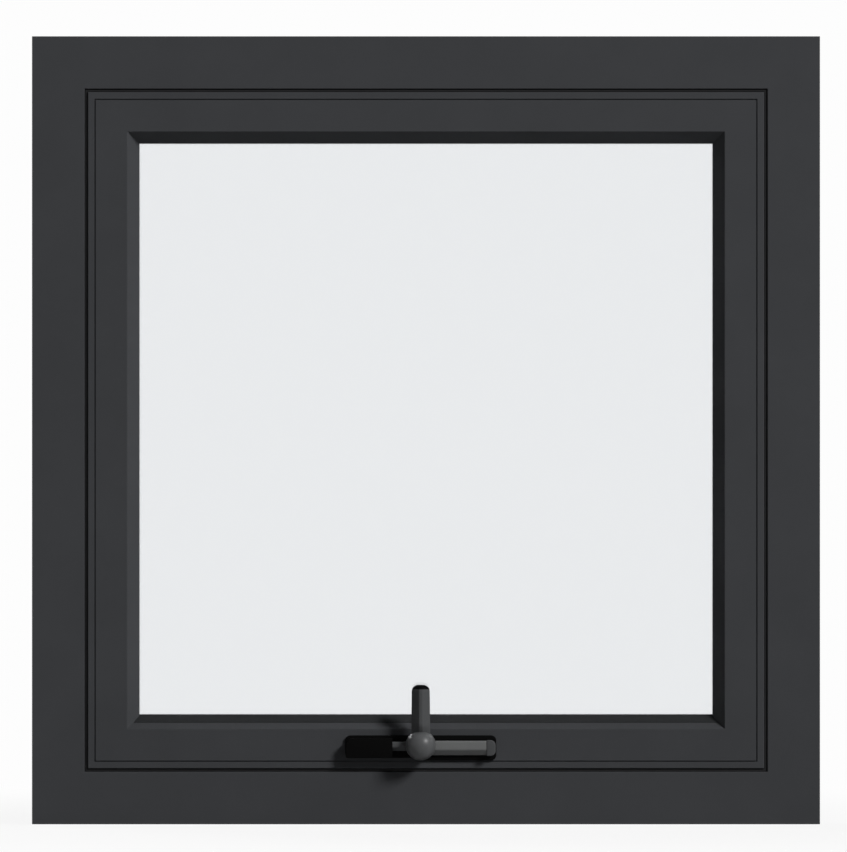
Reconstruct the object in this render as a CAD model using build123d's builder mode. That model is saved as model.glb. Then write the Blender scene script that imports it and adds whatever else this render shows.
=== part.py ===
from build123d import *
import os

os.makedirs("parts", exist_ok=True)

# A small top-hung awning window in dark powder-coated aluminium, shut and locked.
# Millimetres. +X runs to the right as seen from the room, +Y points outdoors, +Z up.
# The origin is at the middle of the sill's underside, half way through the frame.

# Overall
WIDTH = 600.0
HEIGHT = 600.0
DEPTH = 50.0

# Outer frame
FRAME_FACE = 40.0
FRAME_BOX = 28.0
FRAME_WALL = 1.6
FRAME_LEG = 2.5
SEAL_NIB_LONG = 6.0
SEAL_NIB_THICK = 2.0
EDGE_ROUND = 0.6

# Sash
SASH_GAP = 2.5
SASH_BOX = 29.0
SASH_WALL = 1.8
SASH_FACE_WALL = 2.2
SASH_LIP = 6.0
GROOVE_WIDE = 0.9
GROOVE_DEEP = 1.0
SASH_FLAT = 24.0
SASH_NOSE = 9.0
NOSE_DROP = 12.5
SASH_LEG = 14.0
SASH_FLANGE = 12.0
FLANGE_THICK = 2.5

# Glazing
PANE = 4.0
PANE_SPACE = 12.0
GASKET_THICK = 3.0
GASKET_FACE = 5.5
GASKET_SETBACK = 0.5
GLASS_CLEARANCE = 2.0
SPACER_WIDTH = 5.0
SPACER_SETBACK = 0.5
SPACER_WALL = 0.8
BEAD_SETBACK = 2.0
BEAD_ROUND = 5.0
BEAD_WALL = 1.4

# Seals between frame and sash
GAP_SEAL_DEPTH = 4.5
GAP_SEAL_SETBACK = 1.5
WEATHER_SEAL_THICK = 4.5

# Fixing holes through the jambs
FIXING_HOLE_R = 4.0
FIXING_CLEAR = 5.0
FIXING_FROM_END = 100.0

# Drainage through the sill's outdoor wall
WEEP_FROM_CENTRE = 190.0
WEEP_UP = 12.0
WEEP_SLOT_LONG = 25.0
WEEP_SLOT_HIGH = 5.0
COVER_LONG = 40.0
COVER_HIGH = 12.0
COVER_OUT = 4.0
COVER_WALL = 1.5

# Friction stays in the cavity between jamb and stile
STAY_FROM_LEG = 4.5
STAY_FROM_HEAD = 45.0
STAY_TRACK_WIDE = 18.0
STAY_TRACK_HIGH = 3.0
STAY_SHEET = 1.0
STAY_ARM_WIDE = 14.0
STAY_ARM_THICK = 2.5
STAY_LONG_ARM = 160.0
STAY_SHORT_ARM = 110.0
STAY_ARM_GAP = 5.0
STAY_TRACK_SPARE = 10.0
STAY_BAR_THICK = 2.5
STAY_RIVET_R = 3.5

# Handle on the bottom rail
HANDLE_X = -4.0
PLATE_LONG = 115.0
PLATE_HIGH = 19.0
PLATE_STEP = 1.8
PLATE_THICK = 2.5
PLATE_CORNER = 4.0
PLATE_EDGE = 0.6
PLATE_MARGIN = 0.5
BASE_DROP = 2.3
BOSS_R = 10.5
BOSS_OUT = 9.0
GRIP_HIGH = 11.0
GRIP_OUT = 6.5
GRIP_ROUND = 4.0
CAP_LONG = 7.0
CAP_HIGH = 12.0
CAP_EDGE = 0.8
STUB_LONG = 11.0
STUB_HIGH = 7.0
STUB_DROP = 1.0
SHROUD_HIGH = 15.2
SHROUD_OUT = 7.5
SHROUD_ROUND = 5.5
SHROUD_FOOT = 1.2
HUB_R = 11.5
HUB_SKIRT = 2.0
HUB_GAP = 0.5
LEVER_REACH = 46.0
LEVER_WIDE = 14.6
LEVER_TIP_WIDE = 13.6
LEVER_TIP_ROUND = 4.0
LEVER_THICK = 7.5
LEVER_SIDE = 2.5
LEVER_RIDGE = 2.5
LEVER_ABOVE_GRIP = 6.0
SPINDLE_R = 4.0
SPINDLE_SQUARE = 6.0
SPINDLE_RUN = 0.05
SPINDLE_SEAT = 4.0
SPINDLE_INSIDE = 14.0
SPINDLE_HOLE_R = 7.0

# Depths, and distances inwards from the window's outer edge, that follow from these
ROOM_Y = -DEPTH / 2
OUT_Y = DEPTH / 2
SASH_EDGE = FRAME_FACE + SASH_GAP
SASH_INNER = SASH_EDGE + SASH_BOX
FLAT_START = SASH_EDGE + SASH_LIP
NOSE_START = FLAT_START + SASH_FLAT
NOSE_TIP = NOSE_START + SASH_NOSE
FLANGE_EDGE = SASH_EDGE - SASH_FLANGE
NIB_TIP = FRAME_BOX + SEAL_NIB_LONG
GROOVE_Y = ROOM_Y + GROOVE_DEEP
NOSE_TIP_Y = ROOM_Y + NOSE_DROP
LEG_BACK_Y = ROOM_Y + SASH_LEG
NOSE_SLOPE = SASH_NOSE / NOSE_DROP
SLOPE_WALL = SASH_WALL * (1 + NOSE_SLOPE**2) ** 0.5
FLANGE_Y = OUT_Y - FLANGE_THICK
NIB_OUT_Y = FLANGE_Y - WEATHER_SEAL_THICK
NIB_IN_Y = NIB_OUT_Y - SEAL_NIB_THICK
GAP_SEAL_Y = ROOM_Y + GAP_SEAL_SETBACK
GLASS_EDGE = SASH_INNER + GLASS_CLEARANCE
GLASS_IN_Y = LEG_BACK_Y + GASKET_THICK
CAVITY_IN_Y = GLASS_IN_Y + PANE
CAVITY_OUT_Y = CAVITY_IN_Y + PANE_SPACE
GLASS_OUT_Y = CAVITY_OUT_Y + PANE
BEAD_IN_Y = GLASS_OUT_Y + GASKET_THICK
BEAD_TIP = NOSE_TIP - BEAD_SETBACK
IN_GASKET_END = NOSE_TIP - GASKET_SETBACK
OUT_GASKET_END = BEAD_TIP - GASKET_SETBACK
SPACER_START = GLASS_EDGE + SPACER_SETBACK
SPACER_END = SPACER_START + SPACER_WIDTH

# Each side of the window: a plane across its start, with x inwards from the outer edge,
# y outdoors and z along the side, and the side's length
SIDES = {
    "bottom": (Plane(origin=(WIDTH / 2, 0, 0), x_dir=(0, 0, 1), z_dir=(-1, 0, 0)), WIDTH),
    "left": (Plane(origin=(-WIDTH / 2, 0, 0), x_dir=(1, 0, 0), z_dir=(0, 0, 1)), HEIGHT),
    "top": (Plane(origin=(-WIDTH / 2, 0, HEIGHT), x_dir=(0, 0, -1), z_dir=(1, 0, 0)), WIDTH),
    "right": (Plane(origin=(WIDTH / 2, 0, HEIGHT), x_dir=(-1, 0, 0), z_dir=(0, 0, -1)), HEIGHT),
}
FRAME_NAMES = {
    "bottom": "frame_sill",
    "left": "frame_jamb_left",
    "top": "frame_head",
    "right": "frame_jamb_right",
}
SASH_NAMES = {
    "bottom": "sash_bottom_rail",
    "left": "sash_stile_left",
    "top": "sash_top_rail",
    "right": "sash_stile_right",
}


def mitred(side, profile):
    """A section run along one side and cut at 45 degrees at both corners."""
    plane, length = SIDES[side]
    inward = plane.x_dir
    along = plane.z_dir
    with BuildPart() as member:
        with BuildSketch(plane):
            add(profile)
        extrude(amount=length)
        split(bisect_by=Plane(origin=plane.origin, z_dir=along - inward), keep=Keep.TOP)
        far_corner = plane.origin + along * length
        split(bisect_by=Plane(origin=far_corner, z_dir=-along - inward), keep=Keep.TOP)
    return member.part


def ring(profile):
    """A section run round all four sides as one piece."""
    members = [mitred(side, profile) for side in SIDES]
    with BuildPart() as loop:
        add(members)
    return loop.part


def bar_section(start, end, low_y, high_y, wall=None):
    """Rectangle between two distances from the outer edge and two depths, solid or a tube."""
    with BuildSketch() as section:
        with Locations(((start + end) / 2, (low_y + high_y) / 2)):
            Rectangle(end - start, high_y - low_y)
            if wall:
                Rectangle(end - start - 2 * wall, high_y - low_y - 2 * wall, mode=Mode.SUBTRACT)
    return section.sketch


# Frame section: a hollow box, the leg that shows from the room, the nib for the seal
with BuildSketch() as frame_section:
    with BuildLine():
        Polyline(
            (0, ROOM_Y),
            (FRAME_FACE, ROOM_Y),
            (FRAME_FACE, ROOM_Y + FRAME_LEG),
            (FRAME_BOX, ROOM_Y + FRAME_LEG),
            (FRAME_BOX, NIB_IN_Y),
            (NIB_TIP, NIB_IN_Y),
            (NIB_TIP, NIB_OUT_Y),
            (FRAME_BOX, NIB_OUT_Y),
            (FRAME_BOX, OUT_Y),
            (0, OUT_Y),
            close=True,
        )
    make_face()
    with Locations((FRAME_BOX / 2, 0)):
        Rectangle(FRAME_BOX - 2 * FRAME_WALL, DEPTH - 2 * FRAME_WALL, mode=Mode.SUBTRACT)
    fillet(frame_section.vertices().filter_by_position(Axis.Y, ROOM_Y, ROOM_Y), EDGE_ROUND)

# Sash section: lip, groove, flat face, sloped nose, rebate for the glass, outdoor flange.
# The chamber runs on behind the nose.
CHAMBER_IN_Y = ROOM_Y + SASH_FACE_WALL
CHAMBER_NOSE_Y = LEG_BACK_Y - SASH_WALL
SLOPE_BACK = NOSE_START - SLOPE_WALL
with BuildSketch() as sash_section:
    with BuildLine():
        Polyline(
            (SASH_EDGE, ROOM_Y),
            (FLAT_START - GROOVE_WIDE, ROOM_Y),
            (FLAT_START - GROOVE_WIDE, GROOVE_Y),
            (FLAT_START, GROOVE_Y),
            (FLAT_START, ROOM_Y),
            (NOSE_START, ROOM_Y),
            (NOSE_TIP, NOSE_TIP_Y),
            (NOSE_TIP, LEG_BACK_Y),
            (SASH_INNER, LEG_BACK_Y),
            (SASH_INNER, OUT_Y),
            (FLANGE_EDGE, OUT_Y),
            (FLANGE_EDGE, FLANGE_Y),
            (SASH_EDGE, FLANGE_Y),
            close=True,
        )
    make_face()
    with BuildLine():
        Polyline(
            (SASH_EDGE + SASH_WALL, CHAMBER_IN_Y),
            (SLOPE_BACK + SASH_FACE_WALL * NOSE_SLOPE, CHAMBER_IN_Y),
            (SLOPE_BACK + (SASH_LEG - SASH_WALL) * NOSE_SLOPE, CHAMBER_NOSE_Y),
            (SASH_INNER - SASH_WALL, CHAMBER_NOSE_Y),
            (SASH_INNER - SASH_WALL, OUT_Y - SASH_WALL),
            (SASH_EDGE + SASH_WALL, OUT_Y - SASH_WALL),
            close=True,
        )
    make_face(mode=Mode.SUBTRACT)
    face_corners = sash_section.vertices().filter_by_position(Axis.Y, ROOM_Y, ROOM_Y).sort_by(Axis.X)
    fillet([face_corners[0], face_corners[-1]], EDGE_ROUND)

# Glazing bead section: a hollow snap-in bar with a rounded edge towards the glass
with BuildSketch() as bead_section:
    with BuildLine():
        Polyline(
            (SASH_INNER, BEAD_IN_Y),
            (BEAD_TIP, BEAD_IN_Y),
            (BEAD_TIP, OUT_Y),
            (SASH_INNER, OUT_Y),
            close=True,
        )
    make_face()
    fillet(bead_section.vertices().group_by(Axis.X)[-1].sort_by(Axis.Y)[-1], BEAD_ROUND)
    offset(amount=-BEAD_WALL, kind=Kind.INTERSECTION, mode=Mode.SUBTRACT)

# Outer frame: four mitred members
for side, name in FRAME_NAMES.items():
    blank = mitred(side, frame_section.sketch)
    with BuildPart() as frame_member:
        add(blank)
        if name == "frame_sill":
            with BuildSketch(Plane(origin=(0, OUT_Y, WEEP_UP), x_dir=(-1, 0, 0), z_dir=(0, 1, 0))):
                with Locations((-WEEP_FROM_CENTRE, 0), (WEEP_FROM_CENTRE, 0)):
                    SlotOverall(WEEP_SLOT_LONG, WEEP_SLOT_HIGH)
            extrude(amount=-FRAME_WALL, mode=Mode.SUBTRACT)
        if name.startswith("frame_jamb"):
            plane, length = SIDES[side]
            fixing_y = ROOM_Y + FRAME_LEG + STAY_FROM_LEG + STAY_TRACK_WIDE + FIXING_CLEAR + FIXING_HOLE_R
            middle = plane.origin + plane.z_dir * length / 2 + Vector(0, fixing_y, 0)
            with BuildSketch(Plane(origin=middle, x_dir=plane.z_dir, z_dir=plane.x_dir)):
                with GridLocations(length - 2 * FIXING_FROM_END, 0, 2, 1):
                    Circle(FIXING_HOLE_R)
            extrude(amount=FRAME_BOX, mode=Mode.SUBTRACT)
    frame_member.part.label = name
    export_step(frame_member.part, f"parts/{name}.step")

# Handle axis: a little left of the middle, half way up the bottom rail's flat face
HANDLE_Z = (FLAT_START + NOSE_START) / 2


def handle_plane(depth):
    """Plane at a depth that faces the room, centred on the handle's axis, with x to the right."""
    return Plane(origin=(HANDLE_X, depth, HANDLE_Z), x_dir=(1, 0, 0), z_dir=(0, -1, 0))


# Sash: two rails and two stiles
for side, name in SASH_NAMES.items():
    blank = mitred(side, sash_section.sketch)
    with BuildPart() as sash_member:
        add(blank)
        if name == "sash_bottom_rail":
            with BuildSketch(handle_plane(ROOM_Y)):
                Circle(SPINDLE_HOLE_R)
            extrude(amount=-SASH_FACE_WALL, mode=Mode.SUBTRACT)
    sash_member.part.label = name
    export_step(sash_member.part, f"parts/{name}.step")

# Glazing beads on the outdoor side
for side in SIDES:
    blank = mitred(side, bead_section.sketch)
    with BuildPart() as glazing_bead:
        add(blank)
    glazing_bead.part.label = f"glazing_bead_{side}"
    export_step(glazing_bead.part, f"parts/glazing_bead_{side}.step")

# Sealed double-glazing unit
for name, near_y in {"glass_pane_inner": GLASS_IN_Y, "glass_pane_outer": CAVITY_OUT_Y}.items():
    with BuildPart() as pane:
        with BuildSketch(Plane(origin=(0, near_y, HEIGHT / 2), x_dir=(-1, 0, 0), z_dir=(0, 1, 0))):
            Rectangle(WIDTH - 2 * GLASS_EDGE, HEIGHT - 2 * GLASS_EDGE)
        extrude(amount=PANE)
    pane.part.label = name
    export_step(pane.part, f"parts/{name}.step")

# Spacer, gaskets and seals, each one ring
RING_SECTIONS = {
    "glass_spacer": bar_section(SPACER_START, SPACER_END, CAVITY_IN_Y, CAVITY_OUT_Y, SPACER_WALL),
    "glazing_gasket_inner": bar_section(IN_GASKET_END - GASKET_FACE, IN_GASKET_END, LEG_BACK_Y, GLASS_IN_Y),
    "glazing_gasket_outer": bar_section(OUT_GASKET_END - GASKET_FACE, OUT_GASKET_END, GLASS_OUT_Y, BEAD_IN_Y),
    "gap_seal": bar_section(FRAME_FACE, SASH_EDGE, GAP_SEAL_Y, GAP_SEAL_Y + GAP_SEAL_DEPTH),
    "weather_seal": bar_section(FLANGE_EDGE, NIB_TIP, NIB_OUT_Y, FLANGE_Y),
}
for name, section in RING_SECTIONS.items():
    blank = ring(section)
    with BuildPart() as ring_piece:
        add(blank)
    ring_piece.part.label = name
    export_step(ring_piece.part, f"parts/{name}.step")

# Drain covers over the weep slots, open underneath
for name, centre_x in {"drain_cover_left": -WEEP_FROM_CENTRE, "drain_cover_right": WEEP_FROM_CENTRE}.items():
    cover_plane = Plane(origin=(centre_x, OUT_Y, WEEP_UP), x_dir=(-1, 0, 0), z_dir=(0, 1, 0))
    with BuildPart() as drain_cover:
        with BuildSketch(cover_plane):
            Rectangle(COVER_LONG, COVER_HIGH)
        extrude(amount=COVER_OUT)
        chamfer(drain_cover.faces().sort_by(Axis.Y)[-1].edges(), COVER_WALL / 2)
        with BuildSketch(cover_plane):
            with Locations((0, -COVER_WALL)):
                Rectangle(COVER_LONG - 2 * COVER_WALL, COVER_HIGH)
        extrude(amount=COVER_OUT - COVER_WALL, mode=Mode.SUBTRACT)
    drain_cover.part.label = name
    export_step(drain_cover.part, f"parts/{name}.step")

# Friction stays, folded flat: a track on the jamb, two riveted arms, a bar on the stile
STAY_Y = ROOM_Y + FRAME_LEG + STAY_FROM_LEG + STAY_TRACK_WIDE / 2
STAY_TOP = HEIGHT - STAY_FROM_HEAD - SASH_EDGE
SHORT_ARM_Z = STAY_TOP - STAY_TRACK_SPARE - STAY_SHORT_ARM / 2
LONG_ARM_Z = SHORT_ARM_Z - STAY_SHORT_ARM / 2 - STAY_ARM_GAP - STAY_LONG_ARM / 2
STAY_BOTTOM = LONG_ARM_Z - STAY_LONG_ARM / 2 - STAY_TRACK_SPARE
ARM_LEVEL = FRAME_BOX + STAY_TRACK_HIGH + STAY_SHEET
BAR_LEVEL = SASH_EDGE - STAY_BAR_THICK


def stay_plane(side, level, centre_z):
    """Plane that faces the stile, at a distance from the outer edge, with x up the jamb."""
    plane, length = SIDES[side]
    foot = Vector(plane.origin.X, STAY_Y, centre_z)
    return Plane(origin=foot + plane.x_dir * level, x_dir=(0, 0, 1), z_dir=plane.x_dir)


for side in ("left", "right"):
    track_long = STAY_TOP - STAY_BOTTOM
    track_z = (STAY_TOP + STAY_BOTTOM) / 2
    with BuildPart() as stay_track:
        with BuildSketch(stay_plane(side, FRAME_BOX, track_z)):
            Rectangle(track_long, STAY_TRACK_WIDE)
        extrude(amount=STAY_TRACK_HIGH)
        with BuildSketch(stay_plane(side, FRAME_BOX + STAY_SHEET, track_z)):
            Rectangle(track_long, STAY_TRACK_WIDE - 2 * STAY_SHEET)
        extrude(amount=STAY_TRACK_HIGH - STAY_SHEET, mode=Mode.SUBTRACT)
    stay_track.part.label = f"stay_track_{side}"
    export_step(stay_track.part, f"parts/stay_track_{side}.step")

    # The long arm turns on the track at its low end, the short arm at its high end
    for name, centre_z, arm_long, track_end in (
        ("stay_long_arm", LONG_ARM_Z, STAY_LONG_ARM, -1),
        ("stay_short_arm", SHORT_ARM_Z, STAY_SHORT_ARM, 1),
    ):
        rivet_offset = track_end * (arm_long - STAY_ARM_WIDE) / 2
        with BuildPart() as stay_arm:
            with BuildSketch(stay_plane(side, ARM_LEVEL, centre_z)):
                SlotOverall(arm_long, STAY_ARM_WIDE)
            extrude(amount=STAY_ARM_THICK)
            with BuildSketch(stay_plane(side, FRAME_BOX + STAY_SHEET, centre_z + rivet_offset)):
                Circle(STAY_RIVET_R)
            extrude(amount=ARM_LEVEL - FRAME_BOX - STAY_SHEET)
            with BuildSketch(stay_plane(side, ARM_LEVEL + STAY_ARM_THICK, centre_z - rivet_offset)):
                Circle(STAY_RIVET_R)
            extrude(amount=BAR_LEVEL - ARM_LEVEL - STAY_ARM_THICK)
        stay_arm.part.label = f"{name}_{side}"
        export_step(stay_arm.part, f"parts/{name}_{side}.step")

    with BuildPart() as stay_sash_bar:
        with BuildSketch(stay_plane(side, BAR_LEVEL, track_z)):
            SlotOverall(track_long - 2 * STAY_TRACK_SPARE, STAY_ARM_WIDE)
        extrude(amount=STAY_BAR_THICK)
    stay_sash_bar.part.label = f"stay_sash_bar_{side}"
    export_step(stay_sash_bar.part, f"parts/stay_sash_bar_{side}.step")

# Handle: depths step out from the bottom rail's face towards the room
PLATE_Y = ROOM_Y - PLATE_THICK
HUB_Y = PLATE_Y - BOSS_OUT - HUB_GAP
LEVER_Y = PLATE_Y - GRIP_OUT - LEVER_ABOVE_GRIP
BASE_HALF = PLATE_LONG / 2 - PLATE_MARGIN
GRIP_END = BASE_HALF - CAP_LONG
STUB_END = BOSS_R + STUB_LONG

# Back plate, a little less high on its left half, with a round pad behind the boss
with BuildPart() as handle_backplate:
    with BuildSketch(handle_plane(ROOM_Y)) as plate_outline:
        with Locations((0, -BASE_DROP)):
            Rectangle(PLATE_LONG, PLATE_HIGH)
        with Locations((-PLATE_LONG / 4, -BASE_DROP - PLATE_HIGH / 2 + PLATE_STEP / 2)):
            Rectangle(PLATE_LONG / 2, PLATE_STEP, mode=Mode.SUBTRACT)
        fillet(plate_outline.vertices().group_by(Axis.X)[0], PLATE_CORNER)
        fillet(plate_outline.vertices().group_by(Axis.X)[-1], PLATE_CORNER)
        Circle(BOSS_R)
    extrude(amount=PLATE_THICK)
    chamfer(handle_backplate.faces().sort_by(Axis.Y)[0].edges(), PLATE_EDGE)
    with BuildSketch(handle_plane(ROOM_Y)):
        Circle(SPINDLE_HOLE_R)
    extrude(amount=PLATE_THICK, mode=Mode.SUBTRACT)
handle_backplate.part.label = "handle_backplate"
export_step(handle_backplate.part, "parts/handle_backplate.step")

# Base casting: a rounded grip on the right, a short stub on the left, the boss between.
# The base hangs a little lower than the boss.
with BuildPart() as handle_base:
    with BuildSketch(handle_plane(PLATE_Y)):
        with Locations((GRIP_END / 2, -BASE_DROP)):
            Rectangle(GRIP_END, GRIP_HIGH)
    extrude(amount=GRIP_OUT)
    fillet(handle_base.faces().sort_by(Axis.Y)[0].edges().filter_by(Axis.X), GRIP_ROUND)
    with BuildSketch(handle_plane(PLATE_Y)):
        with Locations((-STUB_END / 2, -STUB_DROP)):
            Rectangle(STUB_END, STUB_HIGH)
    extrude(amount=GRIP_OUT)
    with BuildSketch(handle_plane(PLATE_Y)):
        Circle(BOSS_R)
    extrude(amount=BOSS_OUT)
    with BuildSketch(handle_plane(PLATE_Y)):
        Circle(SPINDLE_R + SPINDLE_RUN)
    extrude(amount=BOSS_OUT, mode=Mode.SUBTRACT)
handle_base.part.label = "handle_base"
export_step(handle_base.part, "parts/handle_base.step")

# Cap over the right-hand screw
with BuildPart() as handle_right_cap:
    with BuildSketch(handle_plane(PLATE_Y)):
        with Locations((GRIP_END + CAP_LONG / 2, -BASE_DROP)):
            Rectangle(CAP_LONG, CAP_HIGH)
    extrude(amount=GRIP_OUT)
    fillet(handle_right_cap.edges().filter_by(Axis.Y).group_by(Axis.X)[-1], GRIP_ROUND)
    chamfer(handle_right_cap.faces().sort_by(Axis.Y)[0].edges(), CAP_EDGE)
handle_right_cap.part.label = "handle_right_cap"
export_step(handle_right_cap.part, "parts/handle_right_cap.step")

# Black cover over the left half of the base and its screw
shroud_long = BASE_HALF - STUB_END
with BuildPart() as handle_left_cover:
    with BuildSketch(handle_plane(PLATE_Y)):
        with Locations((-STUB_END - shroud_long / 2, -BASE_DROP)):
            Rectangle(shroud_long, SHROUD_HIGH)
    extrude(amount=SHROUD_OUT)
    left_corners = handle_left_cover.edges().filter_by(Axis.Y).group_by(Axis.X)[0].sort_by(Axis.Z)
    fillet(left_corners[-1], SHROUD_ROUND)
    left_foot = handle_left_cover.edges().filter_by(Axis.Y).sort_by(Axis.Z)
    fillet(left_foot.group_by(Axis.Z)[0].sort_by(Axis.X)[0], SHROUD_FOOT)
    chamfer(handle_left_cover.faces().sort_by(Axis.Y)[0].edges(), CAP_EDGE)
handle_left_cover.part.label = "handle_left_cover"
export_step(handle_left_cover.part, "parts/handle_left_cover.step")

# Lever: a tapered bar with a ridge along its front, pointing up when locked, on a ball-shaped hub
with BuildPart() as handle_lever:
    for height, wide in ((0, LEVER_WIDE), (LEVER_REACH, LEVER_TIP_WIDE)):
        with BuildSketch(Plane(origin=(HANDLE_X, LEVER_Y, HANDLE_Z + height), z_dir=(0, 0, 1))):
            with BuildLine():
                Polyline(
                    (-wide / 2, 0),
                    (wide / 2, 0),
                    (wide / 2, -LEVER_SIDE),
                    (LEVER_RIDGE / 2, -LEVER_THICK),
                    (-LEVER_RIDGE / 2, -LEVER_THICK),
                    (-wide / 2, -LEVER_SIDE),
                    close=True,
                )
            make_face()
    loft()
    with BuildSketch(handle_plane(LEVER_Y)) as lever_outline:
        with BuildLine():
            Polyline(
                (-LEVER_WIDE / 2, 0),
                (LEVER_WIDE / 2, 0),
                (LEVER_TIP_WIDE / 2, LEVER_REACH),
                (-LEVER_TIP_WIDE / 2, LEVER_REACH),
                close=True,
            )
        make_face()
        fillet(lever_outline.vertices().group_by(Axis.Y)[-1], LEVER_TIP_ROUND)
    extrude(amount=LEVER_THICK, mode=Mode.INTERSECT)
    with BuildSketch(Plane(origin=(HANDLE_X, HUB_Y, HANDLE_Z), x_dir=(1, 0, 0), z_dir=(0, 0, 1))):
        with BuildLine():
            Line((0, 0), (HUB_R, 0))
            Line((HUB_R, 0), (HUB_R, -HUB_SKIRT))
            CenterArc((0, -HUB_SKIRT), HUB_R, -90, 90)
            Line((0, -HUB_SKIRT - HUB_R), (0, 0))
        make_face()
    revolve(axis=Axis((HANDLE_X, 0, HANDLE_Z), (0, 1, 0)))
    with BuildSketch(handle_plane(HUB_Y)):
        Circle(SPINDLE_R)
    extrude(amount=SPINDLE_SEAT, mode=Mode.SUBTRACT)
handle_lever.part.label = "handle_lever"
export_step(handle_lever.part, "parts/handle_lever.step")

# Spindle: round in the boss, square inside the rail
with BuildPart() as handle_spindle:
    with BuildSketch(handle_plane(ROOM_Y)):
        Circle(SPINDLE_R)
    extrude(amount=ROOM_Y - HUB_Y + SPINDLE_SEAT)
    with BuildSketch(handle_plane(ROOM_Y)):
        Rectangle(SPINDLE_SQUARE, SPINDLE_SQUARE)
    extrude(amount=-SPINDLE_INSIDE)
handle_spindle.part.label = "handle_spindle"
export_step(handle_spindle.part, "parts/handle_spindle.step")
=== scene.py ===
import math

import bmesh
import bpy
import numpy as np
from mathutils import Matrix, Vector


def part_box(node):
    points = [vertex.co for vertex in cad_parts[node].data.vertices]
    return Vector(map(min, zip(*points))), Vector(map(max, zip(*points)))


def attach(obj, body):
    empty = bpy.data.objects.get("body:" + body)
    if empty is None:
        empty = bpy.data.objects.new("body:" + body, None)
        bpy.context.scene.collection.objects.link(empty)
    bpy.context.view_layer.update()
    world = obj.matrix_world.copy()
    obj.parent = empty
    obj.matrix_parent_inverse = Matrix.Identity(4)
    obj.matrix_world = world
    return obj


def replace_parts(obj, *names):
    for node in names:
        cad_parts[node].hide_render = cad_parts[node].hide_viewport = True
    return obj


bl_info = {
    "name": "Charcoal Awning Window",
    "version": (1, 0, 0),
    "blender": (4, 5, 0),
    "location": "View3D > Sidebar > Window",
    "description": "Dresses a top-hung aluminium window: coating, glass, seals, handle and studio",
    "category": "Object",
}

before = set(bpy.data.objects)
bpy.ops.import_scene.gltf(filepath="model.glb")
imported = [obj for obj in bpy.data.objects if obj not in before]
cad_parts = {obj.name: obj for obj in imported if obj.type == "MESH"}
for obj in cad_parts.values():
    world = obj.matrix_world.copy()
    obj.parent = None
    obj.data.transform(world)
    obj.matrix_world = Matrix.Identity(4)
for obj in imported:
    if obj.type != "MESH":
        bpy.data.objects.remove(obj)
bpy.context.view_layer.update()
MM = 0.001

# The picture's size, and the window's edges in it, in pixels
PHOTO_WIDTH = 847
PHOTO_HEIGHT = 852
WINDOW_LEFT = 32.0
WINDOW_RIGHT = 820.0
WINDOW_TOP = 34.0
WINDOW_BOTTOM = 826.5

# The spindle's axis, which the handle turns about
SPINDLE_LOW, SPINDLE_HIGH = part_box("handle_spindle")
AXIS_X = (SPINDLE_LOW.x + SPINDLE_HIGH.x) / 2
AXIS_Z = (SPINDLE_LOW.z + SPINDLE_HIGH.z) / 2

# The middle of the handle's base, which hangs a little below the spindle
COVER_LOW, COVER_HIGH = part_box("handle_left_cover")
BASE_Z = (COVER_LOW.z + COVER_HIGH.z) / 2

# The way up the sash's nose as (z, y), on a nose 9 mm wide and 12.5 mm deep, and how far its tip
# stands in front of the gasket
NOSE_SLOPE = np.array([9.0, 12.5]) / math.hypot(9.0, 12.5)
NOSE_TIP_AHEAD = 1.5 * MM

# The bottom wedge seal: its thickness on the slope, how far its top edge stands back from the
# gasket's face, and how far it goes down behind the nose's tip
WEDGE_THICK = 0.6 * MM
WEDGE_TOP_BACK = 0.5 * MM
WEDGE_UNDER_TIP = 0.4 * MM

# Roundings of the seals: at their feet, at the lips and on the bulb
SEAL_FOOT_ROUND = 0.2 * MM
GAP_LIP_ROUND = 0.9 * MM
GASKET_LIP_ROUND = 1.2 * MM
GASKET_BACK_ROUND = 0.3 * MM
BULB_WIDE = 3.5 * MM
BULB_FOOT_ROUND = 0.3 * MM
BULB_ROUND = 1.7 * MM

# Roundings of the handle's mouldings: corners anticlockwise from the lower left, then front edges
COVER_ROUNDS = [1.2 * MM, 0.6 * MM, 0.6 * MM, 5.5 * MM]
CAP_ROUNDS = [0.8 * MM, 4 * MM, 4 * MM, 0.8 * MM]
PLATE_ROUND = 4 * MM
PLATE_STEP_ROUND = 0.3 * MM
COVER_EDGE = 0.55 * MM
CAP_EDGE = 0.75 * MM
PLATE_EDGE = 0.8 * MM

# The grip's section: roundings from its lower back corner upwards and round, the share of its
# height by which the foot's slope starts below the middle, and the share of depth left at the foot
GRIP_ROUNDS = [0.1 * MM, 0.1 * MM, 1.3 * MM, 2.2 * MM, 0.6 * MM]
FOOT_START = 0.12
FOOT_DEPTH = 0.28

# Bevels along the boss's front edge
BOSS_BEVEL = 0.3 * MM
BOSS_REACH = 1.0 * MM

# The lever: roundings of its section, the length over which its end goes round, the place and
# length of its neck, the neck's share of the full thickness, and the thickness left at the end
LEVER_ROUNDS = [0.6 * MM, 0.6 * MM, 1.3 * MM, 1.5 * MM, 1.5 * MM, 1.3 * MM]
LEVER_END_ROUND = 5 * MM
NECK_START = 8 * MM
NECK_LONG = 8 * MM
NECK_SHARE = 0.5
END_SHARE = 0.4

# The ball: the bevel at its back, and the small flat at its pole
HUB_BEVEL = 0.4 * MM
HUB_POLE = 0.15 * MM

# Faces that meet at less than this are shaded smooth
SMOOTH_ANGLE = math.radians(35.0)

# The lamps' places and sizes in metres
KEY_PLACE = (6.0, -5.6, 5.5)
KEY_SIZE = 2.0
REAR_PLACE = (-4.5, 6.0, 3.5)
REAR_SIZE = 3.0

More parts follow.
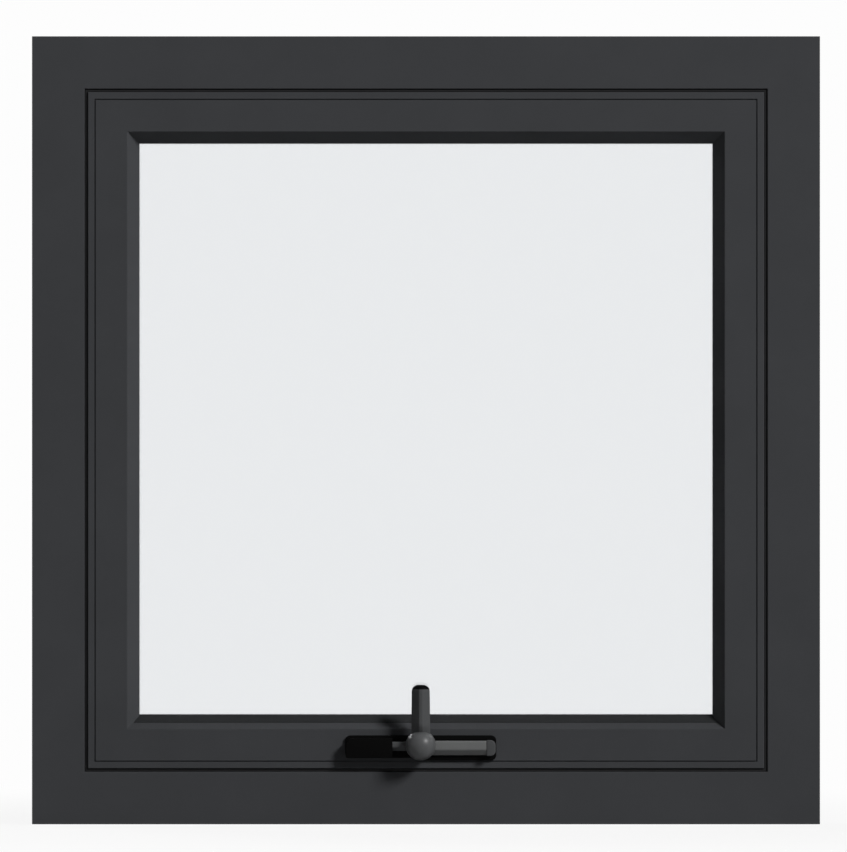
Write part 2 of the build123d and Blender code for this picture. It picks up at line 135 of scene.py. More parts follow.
# The floor: half its width, its level just under the sill, and the share of plain white that the
# eye gets near the window and from how far away on it is all white
FLOOR_HALF = 6.0
FLOOR_LEVEL = -0.5 * MM
FLOOR_NEAR_WHITE = 0.9
FLOOR_NEAR = 0.2
FLOOR_FAR = 0.9


def linear(code):
    """sRGB hex to linear RGBA: each channel c becomes ((c + 0.055) / 1.055) ** 2.4 above 0.04."""
    parts = [int(code[i : i + 2], 16) / 255 for i in (1, 3, 5)]
    return [c / 12.92 if c <= 0.04045 else ((c + 0.055) / 1.055) ** 2.4 for c in parts] + [1.0]


def colour(label, code, words):
    """A colour that a user may change, given as sRGB hex."""
    return bpy.props.FloatVectorProperty(
        name=label, description=words, subtype="COLOR", size=4, min=0, max=1, default=linear(code)
    )


def length(label, millimetres, words):
    """A length that a user may change, given in millimetres."""
    return bpy.props.FloatProperty(
        name=label, description=words, subtype="DISTANCE", unit="LENGTH", default=millimetres * MM
    )


class WindowFinish(bpy.types.PropertyGroup):
    """Colours of the window's own materials; the hub and lever coats are the handle coat in darker
    tones that paint in shade.
    """

    coating: colour("Powder coat", "#37383A", "Charcoal polyester powder on the frame and sash")
    casting: colour("Handle coat", "#585959", "Satin lacquer on the zinc casting of the base")
    # Hub coat: the handle coat in a darker tone, a painted shade on the ball
    hub: colour("Hub coat", "#434445", "Polished satin lacquer on the ball of the hub")
    # Lever coat: the handle coat in a darker tone, a painted shade on the lever, end cap and stub
    lever: colour("Lever coat", "#404142", "Darker satin lacquer on the lever's bar")
    moulding: colour("Black moulding", "#070707", "Nylon of the back plate and covers")
    rubber: colour("Seal rubber", "#1F1F20", "EPDM of the gaskets and seals")
    wedge: colour("Wedge rubber", "#242526", "EPDM of the wedge seal along the bottom of the glass")
    pane: colour("Glass", "#F4F5F6", "Clear float glass, faintly grey through two panes")
    spacer: colour("Spacer", "#8F9193", "Mill-finished aluminium between the panes")
    steel: colour("Stay steel", "#C3C2BE", "Stainless strip of the friction stays")


class WindowSizes(bpy.types.PropertyGroup):
    """Sizes of the forms that are finer than the construction."""

    gap: length("Seal gap", 2.5, "Clear gap between frame and sash, seen from the room")
    gasket_face: length("Gasket face", 5.5, "Width of the glazing gasket across the glass")
    wedge_above: length("Wedge above", 1.8, "How far the bottom wedge seal shows above the nose")
    wedge_over: length("Wedge over", 4.5, "How far the bottom wedge seal lies down over the nose")
    grip_high: length("Grip height", 11.0, "Height of the fixed grip")
    grip_out: length("Grip depth", 6.5, "How far the grip stands off the back plate")
    stub_high: length("Stub height", 7.0, "Height of the stub left of the hub")
    stub_drop: length("Stub drop", 1.0, "How far the stub's middle lies under the spindle")
    plate_step: length("Plate step", 1.8, "How much less high the back plate is on its left half")
    pad_radius: length("Pad radius", 10.5, "Radius of the back plate's round pad")
    lever_wide: length("Lever width", 14.6, "Width of the lever at the hub")
    lever_tip: length("Lever tip", 13.6, "Width of the lever near its end")
    # Over this length the lever's end is coloured black moulding, a painted shade on its rounded
    # end
    lever_painted_shade_end: length("Lever end", 3.6, "Length of the black end on the lever")
    lever_thick: length("Lever thickness", 7.5, "Thickness of the lever bar at its ridge")
    lever_side: length("Lever side", 2.5, "Thickness of the lever bar at its sides")
    lever_ridge: length("Lever ridge", 2.5, "Width of the flat along the lever's ridge")
    lever_gap: length("Lever gap", 6.0, "Air between the lever and the grip")


class StudioSettings(bpy.types.PropertyGroup):
    """Camera, floor and light."""

    distance: bpy.props.FloatProperty(
        name="Camera distance",
        description="From the camera to the frame's room face",
        unit="LENGTH",
        default=8.0,
    )
    backdrop: colour("Backdrop", "#FDFDFD", "White that the camera sees behind the window")
    floor: colour("Floor paint", "#B4B4B4", "Paint under that white, which throws light back up")
    key: bpy.props.FloatProperty(
        name="Key light", description="Lamp at the upper right", unit="POWER", default=1230.0
    )
    rear: bpy.props.FloatProperty(
        name="Rear light", description="Lamp outdoors, behind it", unit="POWER", default=700.0
    )
    room: bpy.props.FloatProperty(
        name="Room light", description="Even light from all round", default=0.065
    )


def add_node(tree, kind, links=None, values=None, **settings):
    """Adds a shader node with its settings, its unlinked values and its incoming links."""
    made = tree.nodes.new(kind)
    for key, value in settings.items():
        setattr(made, key, value)
    for socket, value in (values or {}).items():
        made.inputs[socket].default_value = value
    for socket, source in (links or {}).items():
        tree.links.new(source, made.inputs[socket])
    return made


def new_material(name):
    """An empty material with its output node."""
    material = bpy.data.materials.new(name)
    material.use_nodes = True
    material.node_tree.nodes.clear()
    output = material.node_tree.nodes.new("ShaderNodeOutputMaterial")
    return material, material.node_tree, output


def toned(tree, source, base, low, high):
    """The base colour made darker and lighter by a noise, between two factors."""
    dark = [c * low for c in base[:3]] + [1.0]
    light = [c * high for c in base[:3]] + [1.0]
    return add_node(
        tree,
        "ShaderNodeMix",
        links={"Factor": source},
        values={"A": dark, "B": light},
        data_type="RGBA",
    ).outputs["Result"]


def grained(name, base, grain_mm, depth_mm, rough, metallic=0.0, patch_mm=60.0, specular=0.5):
    """A surface with fine grain in relief, slow patches of tone and a little change in gloss.

    The tone goes 11 % down and up over the patches, and the roughness 0.05 with the grain.
    """
    material, tree, output = new_material(name)
    where = add_node(tree, "ShaderNodeTexCoord").outputs["Object"]
    grain = add_node(
        tree,
        "ShaderNodeTexNoise",
        links={"Vector": where},
        values={"Scale": 1 / (grain_mm * MM), "Detail": 3.0, "Roughness": 0.55},
    ).outputs["Fac"]
    patches = add_node(
        tree,
        "ShaderNodeTexNoise",
        links={"Vector": where},
        values={"Scale": 1 / (patch_mm * MM), "Detail": 5.0, "Roughness": 0.6},
    ).outputs["Fac"]
    gloss = add_node(
        tree,
        "ShaderNodeMapRange",
        links={"Value": grain},
        values={"From Min": 0.3, "From Max": 0.7, "To Min": rough - 0.05, "To Max": rough + 0.05},
    ).outputs["Result"]
    relief = add_node(
        tree,
        "ShaderNodeBump",
        links={"Height": grain},
        values={"Strength": 0.6, "Distance": depth_mm * MM},
    ).outputs["Normal"]
    surface = add_node(
        tree,
        "ShaderNodeBsdfPrincipled",
        links={
            "Base Color": toned(tree, patches, base, 0.89, 1.11),
            "Roughness": gloss,
            "Normal": relief,
        },
        values={"Metallic": metallic, "Specular IOR Level": specular},
    )
    tree.links.new(surface.outputs["BSDF"], output.inputs["Surface"])
    return material


def powder_coat(finish):
    """Polyester powder baked on aluminium: matte, with an orange peel of about 1 mm."""
    return grained("powder_coat", finish.coating, 1.1, 0.02, 0.55, specular=0.018)


def cast_lacquer(finish):
    """Satin lacquer on a zinc pressure casting: smoother and glossier than powder."""
    return grained("cast_lacquer", finish.casting, 0.5, 0.008, 0.42, patch_mm=25.0, specular=0.14)


def shaded_hub_lacquer(finish):
    """The handle coat's satin lacquer in a darker tone, a painted shade over the ball; smoother,
    with a clearer highlight.
    """
    return grained("shaded_hub_lacquer", finish.hub, 0.4, 0.005, 0.37, patch_mm=20.0, specular=0.17)


def shaded_lever_lacquer(finish):
    """The handle coat's satin lacquer in a darker tone, a painted shade on the lever's bar, the end
    cap and the stub.
    """
    return grained("shaded_lever_lacquer", finish.lever, 0.5, 0.008, 0.45, patch_mm=25.0, specular=0.02)


def moulded_nylon(finish):
    """Glass-filled nylon from a spark-eroded mould: black with a fine even grain."""
    black = finish.moulding
    return grained("moulded_nylon", black, 0.35, 0.012, 0.6, patch_mm=20.0, specular=0.015)


def extruded_rubber(finish):
    """EPDM rubber: black, dull and a little chalky."""
    return grained("extruded_rubber", finish.rubber, 0.6, 0.015, 0.8, patch_mm=15.0, specular=0.08)


def wedge_rubber(finish):
    """The same rubber as a wiped strip: a little greyer where it is touched and cleaned."""
    return grained("wedge_rubber", finish.wedge, 0.6, 0.015, 0.7, patch_mm=30.0, specular=0.03)


def mill_aluminium(finish):
    """Bare rolled aluminium: bright metal with a soft sheen."""
    return grained("mill_aluminium", finish.spacer, 0.4, 0.004, 0.35, metallic=1.0)


def stainless_strip(finish):
    """Cold-rolled stainless strip: grey metal with a satin rolling grain."""
    return grained("stainless_strip", finish.steel, 0.3, 0.004, 0.3, metallic=1.0)


def float_glass(finish):
    """Clear float glass: perfectly smooth, and slightly grey from its iron."""
    material, tree, output = new_material("float_glass")
    surface = add_node(
        tree,
        "ShaderNodeBsdfPrincipled",
        values={
            "Base Color": finish.pane,
            "Roughness": 0.0,
            "IOR": 1.52,
            "Transmission Weight": 1.0,
        },
    )
    tree.links.new(surface.outputs["BSDF"], output.inputs["Surface"])
    return material


def dress(names, material):
    """Gives CAD nodes their material."""
    for name in names:
        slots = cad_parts[name].data.materials
        slots.clear()
        slots.append(material)


def arc_corners(corners, radii, steps=5):
    """Closed outline with rounded corners, worked out for all corners at once.

    At each corner the arc starts r * tan(turn / 2) before it and ends as far after it, and its
    points are blended between the two ends round the arc's centre.
    """
    here = np.array(corners, float)
    before = np.roll(here, 1, axis=0)
    after = np.roll(here, -1, axis=0)
    back = (before - here) / np.linalg.norm(before - here, axis=1, keepdims=True)
    ahead = (after - here) / np.linalg.norm(after - here, axis=1, keepdims=True)
    half = np.arccos(np.clip((back * ahead).sum(1), -1, 1)) / 2
    radius = np.array(radii, float)
    reach = radius / np.tan(half)
    middle = back + ahead
    middle /= np.linalg.norm(middle, axis=1, keepdims=True)
    centre = here + middle * (radius / np.sin(half))[:, None]
    start = here + back * reach[:, None] - centre
    end = here + ahead * reach[:, None] - centre
    sweep = math.pi - 2 * half
    t = np.linspace(0, 1, steps)[None, :]
    bottom = np.maximum(np.sin(sweep), 1e-9)[:, None]
    near = np.sin((1 - t) * sweep[:, None]) / bottom
    far = np.sin(t * sweep[:, None]) / bottom
    square = np.isclose(np.sin(sweep), 0)[:, None]
    near = np.where(square, 1 - t, near)
    far = np.where(square, t, far)
    points = centre[:, None] + near[..., None] * start[:, None] + far[..., None] * end[:, None]
    return points.reshape(-1, 2)


def mesh_piece(name, points, faces, material):
    """A mesh object from an array of points and a list of faces, smooth but for its edges."""
    mesh = bpy.data.meshes.new(name)
    mesh.from_pydata(points.reshape(-1, 3).tolist(), [], faces)
    mesh.validate()
    mesh.polygons.foreach_set("use_smooth", [True] * len(mesh.polygons))
    mesh.set_sharp_from_angle(angle=SMOOTH_ANGLE)
    mesh.materials.append(material)
    piece = bpy.data.objects.new(name, mesh)
    bpy.context.scene.collection.objects.link(piece)
    return piece


def grid_faces(rows, columns, wrap_rows, first=0):
    """Quads over a grid whose columns close on themselves; the rows close too if asked."""
    row = np.arange(rows if wrap_rows else rows - 1)[:, None]
    column = np.arange(columns)[None, :]
    next_row = (row + 1) % rows
    next_column = (column + 1) % columns
    corners = [
        row * columns + column,
        row * columns + next_column,
        next_row * columns + next_column,
        next_row * columns + column,
    ]
    quads = np.stack(np.broadcast_arrays(*corners), axis=-1).reshape(-1, 4)
    return (quads + first).tolist()


def capped(rows, columns, first=0):
    """Quads between rings of points, with the first and last ring closed by one flat face."""
    faces = grid_faces(rows, columns, False, first)
    start = list(range(first, first + columns))
    last = first + (rows - 1) * columns
    end = list(range(last, last + columns))
    return faces + [start[::-1], end]


def outward(piece):
    """Turns all faces outwards."""
    work = bmesh.new()
    work.from_mesh(piece.data)
    bmesh.ops.recalc_face_normals(work, faces=work.faces)
    work.to_mesh(piece.data)
    work.free()
    return piece


def window_ring(name, node, outline, material):
    """A section carried round the window and mitred at its corners.

    The outline's first value is the distance in from the node's outer edge, the second is y.
    Corner k of the ring is the outline at that distance from both of the sides that meet there.
    """
    low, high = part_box(node)
    inset = outline[:, 0]
    depth = outline[:, 1]
    x = np.stack([low.x + inset, high.x - inset, high.x - inset, low.x + inset])
    z = np.stack([low.z + inset, low.z + inset, high.z - inset, high.z - inset])
    y = np.broadcast_to(depth, x.shape)
    points = np.stack([x, y, z], axis=-1)
    piece = mesh_piece(name, points, grid_faces(4, len(outline), True), material)
    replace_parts(outward(piece), node)
    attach(piece, "window")
    return piece


class WINDOW_OT_coating(bpy.types.Operator):
    """Coats the frame, the sash and the glazing beads"""

    bl_idname = "window.coating"
    bl_label = "Coat frame and sash"

    def execute(self, context):
        names = [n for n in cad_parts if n.startswith(("frame_", "sash_", "glazing_bead"))]
        dress(names, powder_coat(context.scene.window_finish))
        return {"FINISHED"}


class WINDOW_OT_glass(bpy.types.Operator):
    """Finishes the two panes and the spacer between them"""

    bl_idname = "window.glass"
    bl_label = "Glaze"

    def execute(self, context):
        finish = context.scene.window_finish
        dress(["glass_pane_inner", "glass_pane_outer"], float_glass(finish))
        dress(["glass_spacer"], mill_aluminium(finish))
        return {"FINISHED"}


class WINDOW_OT_seals(bpy.types.Operator):
    """Makes the rubber gaskets and seals with their rounded lips"""

    bl_idname = "window.seals"
    bl_label = "Fit seals"

    def execute(self, context):
        finish = context.scene.window_finish
        sizes = context.scene.window_sizes
        rubber = extruded_rubber(finish)
        low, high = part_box("gap_seal")
        window_ring(
            "gap_seal_rubber",
            "gap_seal",
            arc_corners(
                [(0, high.y), (0, low.y), (sizes.gap, low.y), (sizes.gap, high.y)],
                [SEAL_FOOT_ROUND, GAP_LIP_ROUND, GAP_LIP_ROUND, SEAL_FOOT_ROUND],
            ),
            rubber,
        )
        for side, deep_is_high in (("inner", False), ("outer", True)):
            node = f"glazing_gasket_{side}"
            low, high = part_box(node)
            glass_y = low.y if deep_is_high else high.y
            metal_y = high.y if deep_is_high else low.y
            window_ring(
                f"{node}_rubber",
                node,
                arc_corners(
                    [
                        (0, glass_y),
                        (0, metal_y),
                        (sizes.gasket_face, metal_y),
                        (sizes.gasket_face, glass_y),
                    ],
                    [SEAL_FOOT_ROUND, SEAL_FOOT_ROUND, GASKET_LIP_ROUND, GASKET_BACK_ROUND],
                ),
                rubber,
            )
        low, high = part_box("weather_seal")
        window_ring(
            "weather_seal_bulb",
            "weather_seal",
            arc_corners(
                [(0, low.y), (BULB_WIDE, low.y), (BULB_WIDE, high.y), (0, high.y)],
                [BULB_FOOT_ROUND, BULB_FOOT_ROUND, BULB_ROUND, BULB_ROUND],
            ),
            rubber,
        )
        self.wedge(sizes, finish)
        return {"FINISHED"}

    def wedge(self, sizes, finish):
        """Wedge seal along the bottom of the glass.

        Its section lies on the nose's slope and stands up against the glass, and is drawn straight
        between the two stiles. Each end is cut so that x = half the window's width less the height
        z, up to the nose's tip.
        """
        half_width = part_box("frame_sill")[1].x
        gasket_low, gasket_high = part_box("glazing_gasket_inner")
        tip = np.array([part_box("sash_bottom_rail")[1].z, gasket_low.y - NOSE_TIP_AHEAD])
        out = np.array([NOSE_SLOPE[1], -NOSE_SLOPE[0]]) * WEDGE_THICK
        foot = tip - NOSE_SLOPE * (sizes.wedge_over / NOSE_SLOPE[0])
        top = tip[0] + sizes.wedge_above
        section = np.array(
            [
                foot,
                foot + out + NOSE_SLOPE * WEDGE_THICK,
                tip + out,
                (top, gasket_low.y + WEDGE_TOP_BACK),
                (top, gasket_high.y),
                (tip[0] - WEDGE_UNDER_TIP, gasket_high.y),
                tip - out,
            ]
        )
        half = half_width - np.minimum(section[:, 0], tip[0])
        rings = drawn_rings(section, np.stack([-half, half]))
        seal = joined_piece("bottom_wedge_seal", [rings], wedge_rubber(finish))
        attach(seal, "window")


def drawn_rings(section, x):
    """The two end rings of a section, given as (z, y), drawn straight along x."""
    rings = np.empty((2, len(section), 3))
    rings[..., 0] = x
    rings[..., 1] = section[None, :, 1]
    rings[..., 2] = section[None, :, 0]
    return rings


def quarter(steps=6):
    """Angles from 0 to 90 degrees, for a rounded edge."""
    return np.linspace(0, math.pi / 2, steps)


def plan_rings(outline, base_y, out, rounding):
    """Rings of a low block on a plan outline, with its front edge rounded.

    The wall runs straight to the rounding's start, then ring k goes in by r * (1 - cos a) and
    out by r * sin a, with a from 0 to 90 degrees. The outline goes in along its own normals.
    """
    ahead = np.roll(outline, -1, axis=0) - np.roll(outline, 1, axis=0)
    ahead /= np.linalg.norm(ahead, axis=1, keepdims=True)
    inward = np.stack([-ahead[:, 1], ahead[:, 0]], axis=-1)
    centre = outline.mean(0)
    turn = np.sign(((centre - outline) * inward).sum())
    angle = quarter()
    inset = np.concatenate([[0.0], rounding * (1 - np.cos(angle))])
    rise = np.concatenate([[0.0], out - rounding + rounding * np.sin(angle)])
    flat = outline[None] + turn * inward[None] * inset[:, None, None]
    depth = np.broadcast_to(base_y - rise[:, None], flat.shape[:2])
    return np.stack([flat[..., 0], depth, flat[..., 1]], axis=-1)


def block_piece(name, node, corners, radii, base_y, out, rounding, material):
    """A moulded or cast block that stands on a plane facing the room."""
    rings = plan_rings(arc_corners(corners, radii, 7), base_y, out, rounding)
    piece = mesh_piece(name, rings, capped(*rings.shape[:2]), material)
    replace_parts(outward(piece), node)
    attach(piece, "window")
    return piece


def rectangle(low_x, high_x, middle_z, high):
    """Corners of a rectangle on the rail's face, as (x, z)."""
    half = high / 2
    return [
        (low_x, middle_z - half),
        (high_x, middle_z - half),
        (high_x, middle_z + half),
        (low_x, middle_z + half),
    ]


class WINDOW_OT_handle(bpy.types.Operator):
    """Makes the handle: back plate, base casting, covers and the turning lever"""

    bl_idname = "window.handle"
    bl_label = "Fit handle"

    def execute(self, context):
        finish = context.scene.window_finish
        sizes = context.scene.window_sizes
        nylon = moulded_nylon(finish)
        lacquer = cast_lacquer(finish)
        # The darker lever coat is a painted shade on the bar, the end cap and the stub
        dark = shaded_lever_lacquer(finish)

        self.plate(sizes, nylon)
        low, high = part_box("handle_left_cover")
        block_piece(
            "left_cover_moulding",
            "handle_left_cover",
            rectangle(low.x, high.x, BASE_Z, high.z - low.z),
            COVER_ROUNDS,
            high.y,
            high.y - low.y,
            COVER_EDGE,
            nylon,
        )
        # The end cap takes the darker lever coat, a painted shade
        low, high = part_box("handle_right_cap")
        block_piece(
            "end_cap",
            "handle_right_cap",
            rectangle(low.x, high.x, BASE_Z, high.z - low.z),
            CAP_ROUNDS,
            high.y,
            high.y - low.y,
            CAP_EDGE,
            dark,
        )
        self.base(sizes, [lacquer, dark])
        self.lever(sizes, [shaded_hub_lacquer(finish), dark, nylon])
        dress(["handle_spindle"], stainless_strip(finish))
        return {"FINISHED"}

    def plate(self, sizes, nylon):
        """Back plate: a flat block with a step in its lower edge behind the hub, and a round pad.

        The pad is turned about the spindle. Both have their front edge rounded by a quarter
        circle, r * (1 - cos a) in and r * (1 - sin a) back from the front.
        """
        low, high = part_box("handle_backplate")
        top_z = 2 * BASE_Z - low.z
        step_z = low.z + sizes.plate_step
        outline = arc_corners(
            [
                (low.x, step_z),
                (AXIS_X, step_z),
                (AXIS_X, low.z),
                (high.x, low.z),
                (high.x, top_z),
                (low.x, top_z),
            ],
            [PLATE_ROUND, PLATE_STEP_ROUND, PLATE_STEP_ROUND] + [PLATE_ROUND] * 3,
            7,
        )
        block = plan_rings(outline, high.y, high.y - low.y, PLATE_EDGE)
        angle = quarter()
        pad_edge = sizes.pad_radius - PLATE_EDGE * (1 - np.cos(angle))
        pad = turned_rings(
            np.concatenate([[sizes.pad_radius], pad_edge]),
            np.concatenate([[high.y], low.y + PLATE_EDGE * (1 - np.sin(angle))]),
        )
        moulding = joined_piece("back_plate_moulding", [block, pad], nylon)
        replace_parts(moulding, "handle_backplate")
        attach(moulding, "window")

    def base(self, sizes, coats):
        """Base casting: the grip, the stub and the boss.

        The grip is a section along x with an upright front that slopes back at its foot, the stub
        is a smaller one, and the boss is turned, with a radius for each of a short list of depths.
        The first coat is the grip's and the boss's, the second the stub's: the darker lever coat, a
        painted shadow of the hub on the stub.
        """
        low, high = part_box("handle_base")
        boss_r = (high.z - low.z) / 2
        parts = []
        for end_x, middle, tall in (
            (high.x, BASE_Z, sizes.grip_high),
            (low.x, AXIS_Z - sizes.stub_drop, sizes.stub_high),
        ):
            section = arc_corners(
                [
                    (middle - tall / 2, high.y),
                    (middle + tall / 2, high.y),
                    (middle + tall / 2, high.y - sizes.grip_out),
                    (middle - tall * FOOT_START, high.y - sizes.grip_out),
                    (middle - tall / 2, high.y - sizes.grip_out * FOOT_DEPTH),
                ],
                GRIP_ROUNDS,
                9,
            )
            parts.append(drawn_rings(section, np.array([[AXIS_X], [end_x]])))
        boss = turned_rings(
            np.array([boss_r, boss_r, boss_r - BOSS_BEVEL, boss_r - BOSS_REACH]),
            np.array([high.y, low.y + BOSS_REACH, low.y + BOSS_BEVEL, low.y]),
        )
        parts.append(boss)
        casting = joined_piece("base_casting", parts, coats[0])
        casting.data.materials.append(coats[1])
        grip_faces = len(capped(*parts[0].shape[:2]))
        stub_faces = len(capped(*parts[1].shape[:2]))
        order = np.arange(len(casting.data.polygons)) - grip_faces
        # The stub's faces take the darker coat, a painted shadow of the hub
        stub_in_painted_shadow = (order >= 0) & (order < stub_faces)
        casting.data.polygons.foreach_set("material_index", stub_in_painted_shadow.astype(np.int32))
        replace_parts(casting, "handle_base")
        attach(casting, "window")

    def lever(self, sizes, coats):
        """Lever: a bar with a soft ridge along its front, and a hub turned about the spindle.

        The section is a six-sided outline with rounded corners. Its half width goes from half the
        hub width to half the tip width, and near the end both its sizes shrink by a quarter
        circle, sqrt(1 - u^2), so that the end is round. Near the hub the bar is thinner and its
        neck rises by 3 t^2 - 2 t^3, so that the ball stands in front. The ball's radius is
        r cos a where it stands r sin a out. The coats are the hub's and the bar's, both the handle
        coat in darker tones as painted shade, and the end's black moulding, a painted shade over
        the round end.
        """
        low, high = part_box("handle_lever")
        hub_r = (high.x - low.x) / 2
        reach = high.z - AXIS_Z
        back_y = COVER_HIGH.y - sizes.grip_out - sizes.lever_gap
        half = sizes.lever_wide / 2
        ridge = sizes.lever_ridge / 2
        section = arc_corners(
            [
                (-half, 0),
                (half, 0),
                (half, sizes.lever_side),
                (ridge, sizes.lever_thick),
                (-ridge, sizes.lever_thick),
                (-half, sizes.lever_side),
            ],
            LEVER_ROUNDS,
        )
        end = reach - LEVER_END_ROUND
        straight = np.linspace(0, end, 30)[:-1]
        along = np.concatenate([straight, end + LEVER_END_ROUND * np.sin(np.linspace(0, 1.5, 10))])
        past = ((along - end) / LEVER_END_ROUND).clip(0)
        shrink = np.sqrt(np.clip(1 - past**2, 0.002, 1))
        half_x = (sizes.lever_wide + (sizes.lever_tip - sizes.lever_wide) * along / reach) / 2
        half_x = half_x - LEVER_END_ROUND * (1 - shrink)
        rise = np.clip((along - NECK_START) / NECK_LONG, 0, 1)
        neck = NECK_SHARE + (1 - NECK_SHARE) * rise**2 * (3 - 2 * rise)
        thick = (END_SHARE + (1 - END_SHARE) * shrink) * neck
        bar = np.empty((len(along), len(section), 3))
        bar[..., 0] = AXIS_X + section[None, :, 0] * (half_x / half)[:, None]
        bar[..., 1] = back_y - section[None, :, 1] * thick[:, None]
        bar[..., 2] = AXIS_Z + along[:, None]
        polar = quarter(14)[:-1]
        ball = low.y + hub_r * (1 - np.sin(polar))
        hub = turned_rings(
            np.concatenate([[hub_r - HUB_BEVEL, hub_r], hub_r * np.cos(polar), [HUB_POLE]]),
            np.concatenate([[high.y, high.y - HUB_BEVEL], ball, [low.y]]),
        )
        lever = joined_piece("lever_and_hub", [bar, hub], coats[0])
        for coat in coats[1:]:
            lever.data.materials.append(coat)
        count = len(lever.data.polygons)
        centres = np.empty(count * 3)
        lever.data.polygons.foreach_get("center", centres)
        on_bar = np.arange(count) < len(capped(*bar.shape[:2]))
        # Faces near the lever's end take the black moulding, a painted shade on the rounded end
        in_painted_end_shade = centres[2::3] > AXIS_Z + reach - sizes.lever_painted_shade_end
        coat_index = np.where(on_bar, np.where(in_painted_end_shade, 2, 1), 0)
        lever.data.polygons.foreach_set("material_index", coat_index.astype(np.int32))
        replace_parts(lever, "handle_lever")
        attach(lever, "handle")


def turned_rings(radius, depth):
    """Rings turned about the spindle's axis: x = r cos a, z = r sin a, at each depth y."""
    angle = np.linspace(0, 2 * math.pi, 64, endpoint=False)
    rings = np.empty((len(radius), len(angle), 3))
    rings[..., 0] = AXIS_X + radius[:, None] * np.cos(angle)
    rings[..., 1] = depth[:, None]
    rings[..., 2] = AXIS_Z + radius[:, None] * np.sin(angle)
    return rings


def joined_piece(name, parts, material):
    """One piece from several closed shells, each a stack of rings."""
    faces = []
    points = []
    first = 0
    for rings in parts:
        faces += capped(rings.shape[0], rings.shape[1], first)
        points.append(rings.reshape(-1, 3))
        first += rings.shape[0] * rings.shape[1]
    return outward(mesh_piece(name, np.concatenate(points), faces, material))


class WINDOW_OT_fittings(bpy.types.Operator):
    """Finishes the friction stays and the drain covers"""

    bl_idname = "window.fittings"
    bl_label = "Finish fittings"

    def execute(self, context):
        finish = context.scene.window_finish
        dress([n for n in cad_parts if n.startswith("stay_")], stainless_strip(finish))
        dress(["drain_cover_left", "drain_cover_right"], moulded_nylon(finish))
        return {"FINISHED"}


def lamp(name, place, target, size, power):
    """A square soft lamp aimed at a point."""
    data = bpy.data.lights.new(name, "AREA")
    data.size = size
    data.energy = power
    light = bpy.data.objects.new(name, data)
    bpy.context.scene.collection.objects.link(light)
    light.location = place
    light.visible_camera = False
    aim = Vector(target) - Vector(place)
    light.rotation_euler = aim.to_track_quat("-Z", "Y").to_euler()


def seen_directly(tree):
    """1 for rays from the camera, from gloss and through glass, and 0 for the rest."""
    path = add_node(tree, "ShaderNodeLightPath").outputs
    shine = add_node(
        tree,
        "ShaderNodeMath",
        links={0: path["Is Camera Ray"], 1: path["Is Glossy Ray"]},
        operation="MAXIMUM",
    ).outputs[0]
    return add_node(
        tree,
        "ShaderNodeMath",
        links={0: shine, 1: path["Is Transmission Ray"]},
        operation="MAXIMUM",
    ).outputs[0]


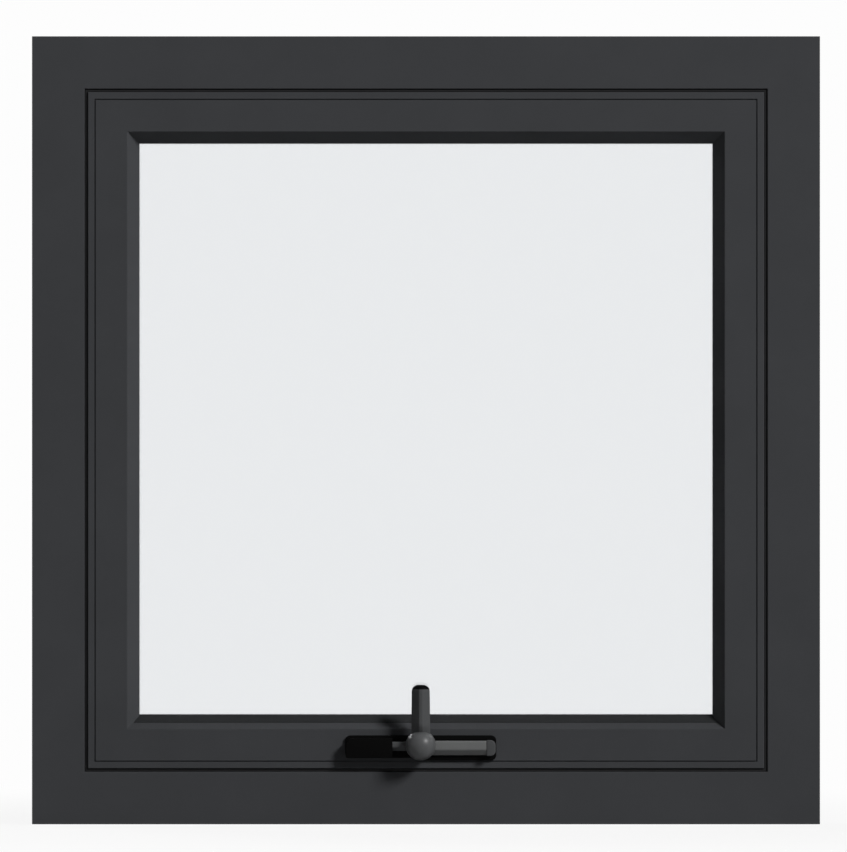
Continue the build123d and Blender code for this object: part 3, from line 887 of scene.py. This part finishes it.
class WINDOW_OT_studio(bpy.types.Operator):
    """Sets the camera square on to the window, the white floor and backdrop, and the lamps"""

    bl_idname = "window.studio"
    bl_label = "Set up studio"

    def execute(self, context):
        scene = context.scene
        studio = scene.window_studio
        low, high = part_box("frame_head")
        room_y = low.y
        scale = (high.x - low.x) / (WINDOW_RIGHT - WINDOW_LEFT)
        shift_x = ((WINDOW_LEFT + WINDOW_RIGHT) - PHOTO_WIDTH) / 2 * scale
        shift_z = ((WINDOW_TOP + WINDOW_BOTTOM) - PHOTO_HEIGHT) / 2 * scale
        middle_z = high.z / 2
        data = bpy.data.cameras.new("camera")
        data.sensor_width = 36.0
        data.lens = data.sensor_width * studio.distance / (PHOTO_HEIGHT * scale)
        camera = bpy.data.objects.new("camera", data)
        scene.collection.objects.link(camera)
        camera.location = (-shift_x, room_y - studio.distance, middle_z + shift_z)
        camera.rotation_euler = (math.pi / 2, 0, 0)
        scene.camera = camera

        centre = (0, 0, middle_z)
        lamp("key_lamp", KEY_PLACE, centre, KEY_SIZE, studio.key)
        lamp("rear_lamp", REAR_PLACE, centre, REAR_SIZE, studio.rear)
        self.world(scene, studio)
        self.floor(scene, studio)
        scene.view_settings.view_transform = "Standard"
        return {"FINISHED"}

    def world(self, scene, studio):
        """White to the eye, and an even dim light to everything else."""
        world = bpy.data.worlds.new("studio_white")
        world.use_nodes = True
        tree = world.node_tree
        tree.nodes.clear()
        light = add_node(
            tree,
            "ShaderNodeBackground",
            values={"Color": (1, 1, 1, 1), "Strength": studio.room},
        )
        white = add_node(
            tree,
            "ShaderNodeBackground",
            values={"Color": studio.backdrop, "Strength": 1.0},
        )
        both = add_node(
            tree,
            "ShaderNodeMixShader",
            links={0: seen_directly(tree), 1: light.outputs[0], 2: white.outputs[0]},
        )
        output = tree.nodes.new("ShaderNodeOutputWorld")
        tree.links.new(both.outputs[0], output.inputs["Surface"])
        scene.world = world

    def floor(self, scene, studio):
        """Pale floor that keeps a faint shadow and is otherwise as white as the backdrop.

        From below it is clear, so that the sill's underside can be seen.
        """
        material, tree, output = new_material("floor_white")
        paint = add_node(
            tree,
            "ShaderNodeBsdfDiffuse",
            values={"Color": studio.floor},
        )
        white = add_node(
            tree,
            "ShaderNodeEmission",
            values={"Color": studio.backdrop, "Strength": 1.0},
        )
        where = add_node(tree, "ShaderNodeTexCoord").outputs["Object"]
        away = add_node(
            tree, "ShaderNodeVectorMath", links={0: where}, operation="LENGTH"
        ).outputs["Value"]
        white_share = add_node(
            tree,
            "ShaderNodeMapRange",
            links={"Value": away},
            values={"From Min": FLOOR_NEAR, "From Max": FLOOR_FAR, "To Min": FLOOR_NEAR_WHITE},
            interpolation_type="SMOOTHSTEP",
        ).outputs["Result"]
        share = add_node(
            tree,
            "ShaderNodeMath",
            links={0: seen_directly(tree), 1: white_share},
            operation="MULTIPLY",
        )
        both = add_node(
            tree,
            "ShaderNodeMixShader",
            links={0: share.outputs[0], 1: paint.outputs[0], 2: white.outputs[0]},
        )
        under = add_node(tree, "ShaderNodeNewGeometry").outputs["Backfacing"]
        clear = add_node(tree, "ShaderNodeBsdfTransparent")
        one_sided = add_node(
            tree,
            "ShaderNodeMixShader",
            links={0: under, 1: both.outputs[0], 2: clear.outputs[0]},
        )
        tree.links.new(one_sided.outputs[0], output.inputs["Surface"])
        corners = np.array([(-1, -1, 0), (1, -1, 0), (1, 1, 0), (-1, 1, 0)]) * FLOOR_HALF
        corners[:, 2] = FLOOR_LEVEL
        mesh = bpy.data.meshes.new("floor")
        mesh.from_pydata(corners.tolist(), [], [(0, 1, 2, 3)])
        mesh.materials.append(material)
        floor = bpy.data.objects.new("floor", mesh)
        scene.collection.objects.link(floor)


class WINDOW_PT_panel(bpy.types.Panel):
    """The window's settings and the steps that make it"""

    bl_idname = "WINDOW_PT_panel"
    bl_label = "Awning Window"
    bl_space_type = "VIEW_3D"
    bl_region_type = "UI"
    bl_category = "Window"

    def draw(self, context):
        layout = self.layout
        for step in STEPS:
            layout.operator(f"window.{step}")
        for group in ("window_finish", "window_sizes", "window_studio"):
            settings = getattr(context.scene, group)
            column = layout.column()
            for name in settings.__annotations__:
                column.prop(settings, name)


STEPS = ("coating", "glass", "seals", "handle", "fittings", "studio")
CLASSES = (
    WindowFinish,
    WindowSizes,
    StudioSettings,
    WINDOW_OT_coating,
    WINDOW_OT_glass,
    WINDOW_OT_seals,
    WINDOW_OT_handle,
    WINDOW_OT_fittings,
    WINDOW_OT_studio,
    WINDOW_PT_panel,
)


def register():
    for item in CLASSES:
        bpy.utils.register_class(item)
    bpy.types.Scene.window_finish = bpy.props.PointerProperty(type=WindowFinish)
    bpy.types.Scene.window_sizes = bpy.props.PointerProperty(type=WindowSizes)
    bpy.types.Scene.window_studio = bpy.props.PointerProperty(type=StudioSettings)


def unregister():
    del bpy.types.Scene.window_studio
    del bpy.types.Scene.window_sizes
    del bpy.types.Scene.window_finish
    for item in reversed(CLASSES):
        bpy.utils.unregister_class(item)


def main():
    register()
    for step in STEPS:
        getattr(bpy.ops.window, step)()


if __name__ == "__main__":
    main()
